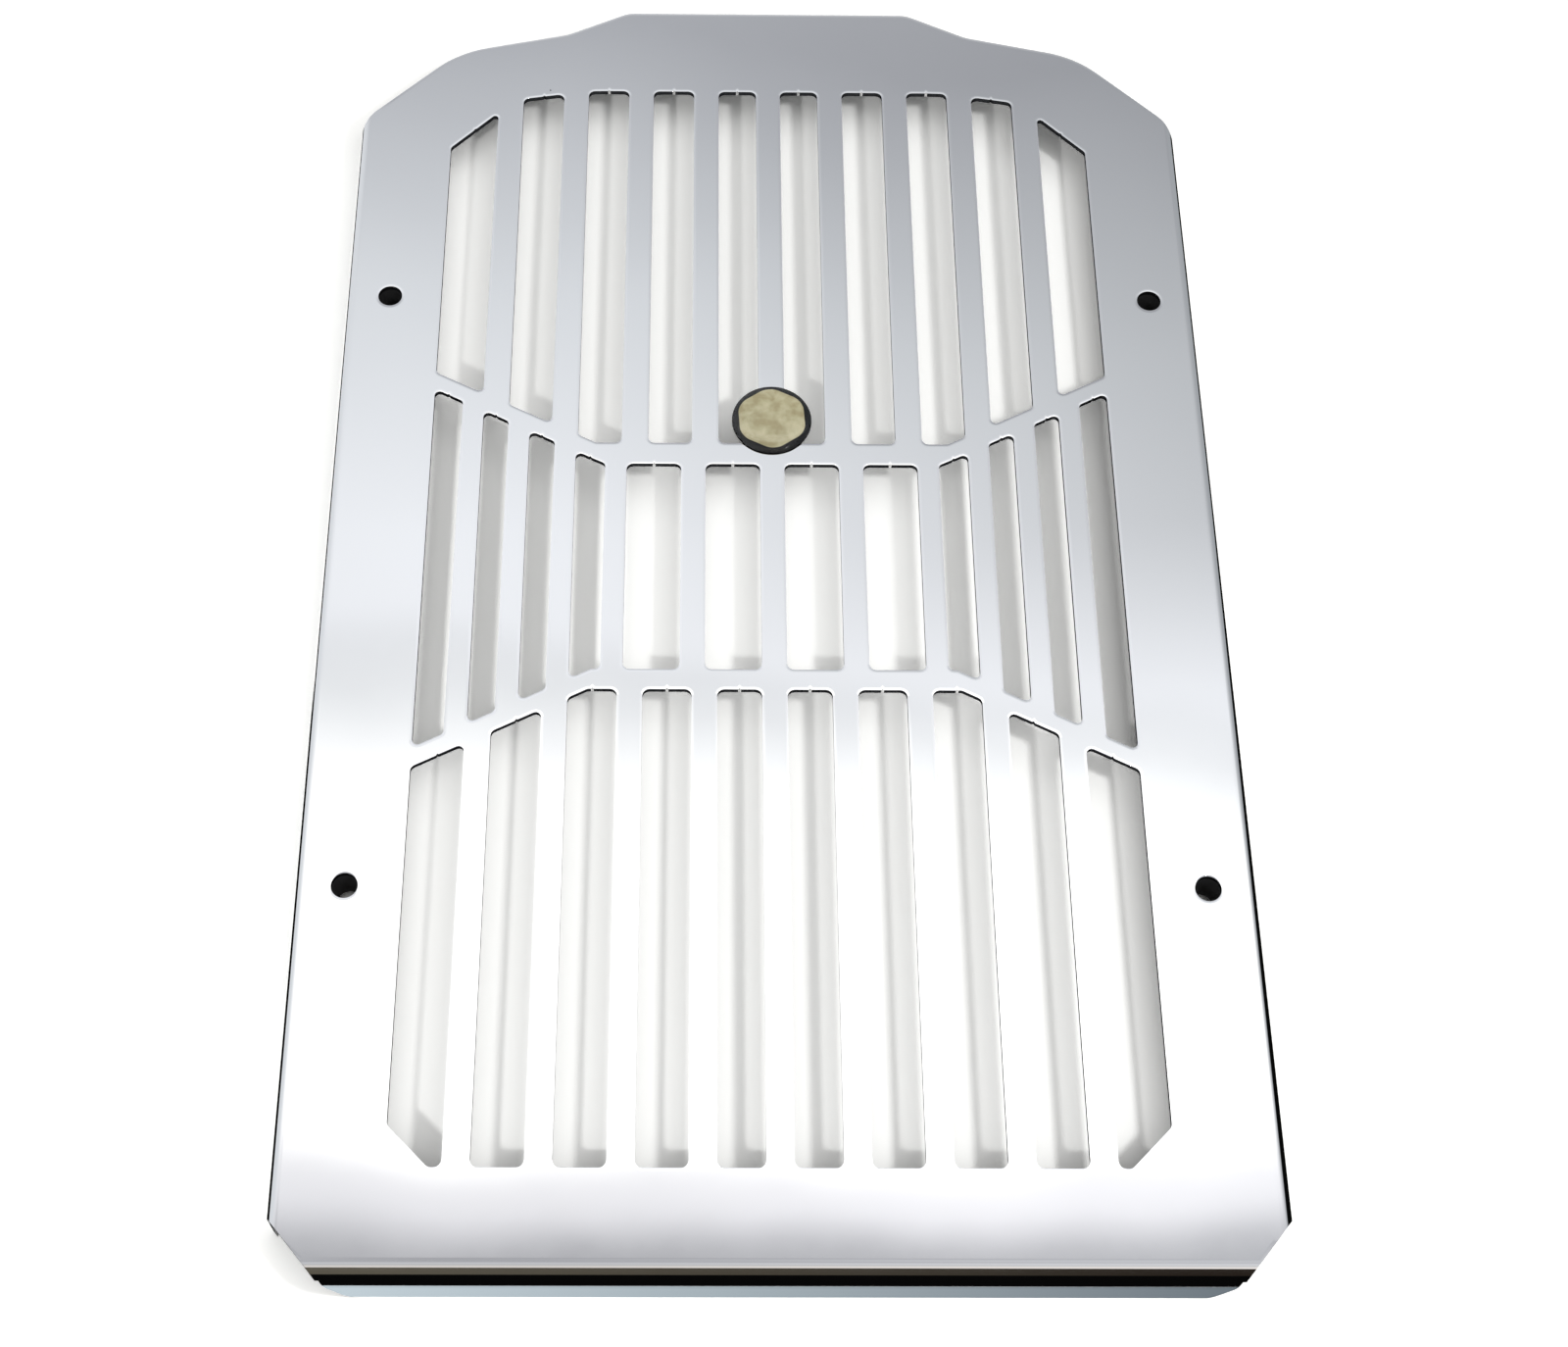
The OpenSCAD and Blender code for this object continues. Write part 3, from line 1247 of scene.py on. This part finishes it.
@dataclass
class Studio:
    """The table, the lamps, the cards and the room round the guard."""

    # How white the table is, how bright it looks, and its tint.
    floor_albedo: float = 0.4
    floor_gain: float = 1.28
    floor_tint: str = "#FEFEFC"
    floor_size: float = 9.0
    floor_z: float = -0.05 * MM
    # How far the cards show in the mirror, and where their colour starts and ends to change.
    card_reach: float = 0.115
    card_blend: float = 0.11
    lamps: tuple[Lamp, ...] = (
        Lamp("lamp_right", (0.380, -0.292, 0.740), 0.248, 0.108),
        Lamp("lamp_left", (-0.325, -0.540, 0.640), 0.151, 0.062),
    )
    # Glowing cards that only mirrors see, as painted reflections: the black and brown ones paint
    # the dark bands in the folds, the blue-grey one the table in shade in front of the foot, darker
    # to the right.
    cards: tuple[Card, ...] = (
        Card("card_front_low", PaintedReflection.BLACK, Stance.ACROSS, (0, -262, 32.5), (360, 67)),
        Card("card_front_high", PaintedReflection.BROWN, Stance.ACROSS, (0, -262, 90.5), (360, 49), 41.5),
        Card("card_front_floor", PaintedReflection.BLACK, Stance.LYING, (0, -232.5, 0.4), (360, 61)),
        Card("card_foot_floor", PaintedReflection.BLUE_GREY, Stance.LYING, (0, -195.7, 0.4), (300, 12)),
        Card("card_right", PaintedReflection.BLACK, Stance.ALONG, (162, -80, 29), (260, 58), drop_mm=46),
        Card("card_right_far", PaintedReflection.BLACK, Stance.ALONG, (162, 150, 6.5), (200, 13)),
        Card("card_left", PaintedReflection.BLACK, Stance.ALONG, (-162, 0, 11), (400, 22), drop_mm=10),
        Card("card_right_floor", PaintedReflection.BLACK, Stance.LYING, (147.5, 0, 0.4), (29, 420)),
        Card("card_left_floor", PaintedReflection.BLACK, Stance.LYING, (-150, -112, 0.4), (24, 180)),
    )

    def build(self) -> None:
        """Set up the whole studio."""
        self.lay_floor()
        painted_reflections = {painted_reflection: self.painted_reflection_material(painted_reflection) for painted_reflection in PaintedReflection}
        for card in self.cards:
            card.put_up(painted_reflections[card.painted_reflection])
            LOG.info("card %s", card.name)
        for lamp in self.lamps:
            lamp.hang()
            LOG.info("lamp %s", lamp.name)
        Room().paint()

    def lay_floor(self) -> None:
        """Lay the white table."""
        bpy.ops.mesh.primitive_plane_add(size=self.floor_size, location=(0, 0, self.floor_z))
        floor = bpy.context.active_object
        settle(floor, "white_table")
        floor.data.materials.append(self.floor_material())

    def floor_material(self) -> bpy.types.Material:
        """Make the table's top. It is exposed brightly for the camera and in mirrors, so that
        only the guard's shadows show on it, and plainly for the light it throws back.

        Returns:
            The material.
        """
        made = bare_material("white table top")
        nodes = Nodes(made.node_tree)
        grey = (self.floor_albedo,) * 3 + (1.0,)
        plain = nodes.add("BsdfDiffuse", {"Color": grey})
        tint = linear(self.floor_tint)[:3]
        lift = tuple(self.floor_gain * part - self.floor_albedo for part in tint) + (1.0,)
        extra = nodes.add("BsdfDiffuse", {"Color": lift})
        bright = nodes.add("AddShader", links={0: plain.outputs["BSDF"], 1: extra.outputs["BSDF"]})
        path = nodes.add("LightPath")
        looked_at = nodes.add(
            "Math",
            {"operation": "MAXIMUM"},
            {0: path.outputs["Is Camera Ray"], 1: path.outputs["Is Glossy Ray"]},
        )
        shown = nodes.add(
            "MixShader",
            links={0: looked_at.outputs[0], 1: plain.outputs["BSDF"], 2: bright.outputs["Shader"]},
        )
        nodes.add("OutputMaterial", links={"Surface": shown.outputs["Shader"]})
        return made

    def painted_reflection_material(self, painted_reflection: PaintedReflection) -> bpy.types.Material:
        """Make a card's glow, a painted reflection that changes from left to right and shows in the
        folds beside the card, but not in the face of the guard farther off.

        Args:
            painted_reflection: The painted reflection that the card glows with.

        Returns:
            The material.
        """
        title, left, right = painted_reflection.value
        made = bare_material(title)
        nodes = Nodes(made.node_tree)
        place = nodes.add("TexCoord").outputs["Object"]
        apart = nodes.add("SeparateXYZ", links={"Vector": place})
        across = nodes.add(
            "MapRange",
            {"From Min": -self.card_blend, "From Max": self.card_blend},
            {"Value": apart.outputs["X"]},
        )
        colour = nodes.add(
            "Mix",
            {"data_type": "RGBA", FIRST: linear(left), SECOND: linear(right)},
            {"Factor": across.outputs["Result"]},
        )
        glow = nodes.add("Emission", {"Strength": MIRROR_GAIN}, {"Color": colour.outputs[BLENDED]})
        path = nodes.add("LightPath")
        far = nodes.add(
            "Math",
            {"operation": "GREATER_THAN", 1: self.card_reach},
            {0: path.outputs["Ray Length"]},
        )
        clear = nodes.add("BsdfTransparent")
        seen = nodes.add(
            "MixShader",
            links={0: far.outputs[0], 1: glow.outputs["Emission"], 2: clear.outputs["BSDF"]},
        )
        nodes.add("OutputMaterial", links={"Surface": seen.outputs["Shader"]})
        return made


@dataclass
class PhotoCamera:
    """The camera, where the photographer's stood: above the foot, looking down at the face."""

    place: Place = (-0.01978, -0.32679, 0.56611)
    # Degrees about X, Y and Z, in that order.
    turned: tuple[float, float, float] = (27.984, -0.7646, -0.0903)
    focal_px: float = 2492.8
    frame_w_px: float = 1600.0
    centre_px: float = 742.9
    sensor_mm: float = 36.0
    clip_start: float = 0.01
    clip_end: float = 50.0

    def build(self) -> None:
        """Place the camera and make it the scene's."""
        data = bpy.data.cameras.new("camera")
        data.sensor_width = self.sensor_mm
        data.lens = self.focal_px / self.frame_w_px * self.sensor_mm
        data.shift_x = (self.frame_w_px / 2 - self.centre_px) / self.frame_w_px
        data.clip_start = self.clip_start
        data.clip_end = self.clip_end
        camera = bpy.data.objects.new("camera", data)
        bpy.context.scene.collection.objects.link(camera)
        camera.location = self.place
        camera.rotation_euler = tuple(math.radians(angle) for angle in self.turned)
        bpy.context.scene.camera = camera


def main() -> None:
    """Dress the guard and set up the studio round it."""
    logging.basicConfig(level=logging.INFO, format="%(name)s: %(message)s")
    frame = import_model()
    solids = frame["nodes"]
    bpy.context.scene.view_settings.view_transform = "Standard"
    PhotoCamera().build()

    sheet_maker = GuardSheet()
    sheet = sheet_maker.build(solids["guard_plate"])
    sheet_maker.dress(sheet)
    LOG.info("%s: %d faces", sheet.name, len(sheet.data.polygons))

    badge = Badge()
    badge.dress_foil(solids["badge_label"])
    for piece in (badge.panel(), badge.dome()):
        LOG.info("%s: %d faces", piece.name, len(piece.data.polygons))

    bushes = Bushes()
    bushes.dress(solids)
    LOG.info("rubber on %s", ", ".join(bushes.names))

    Studio().build()


if __name__ == "__main__":
    main()
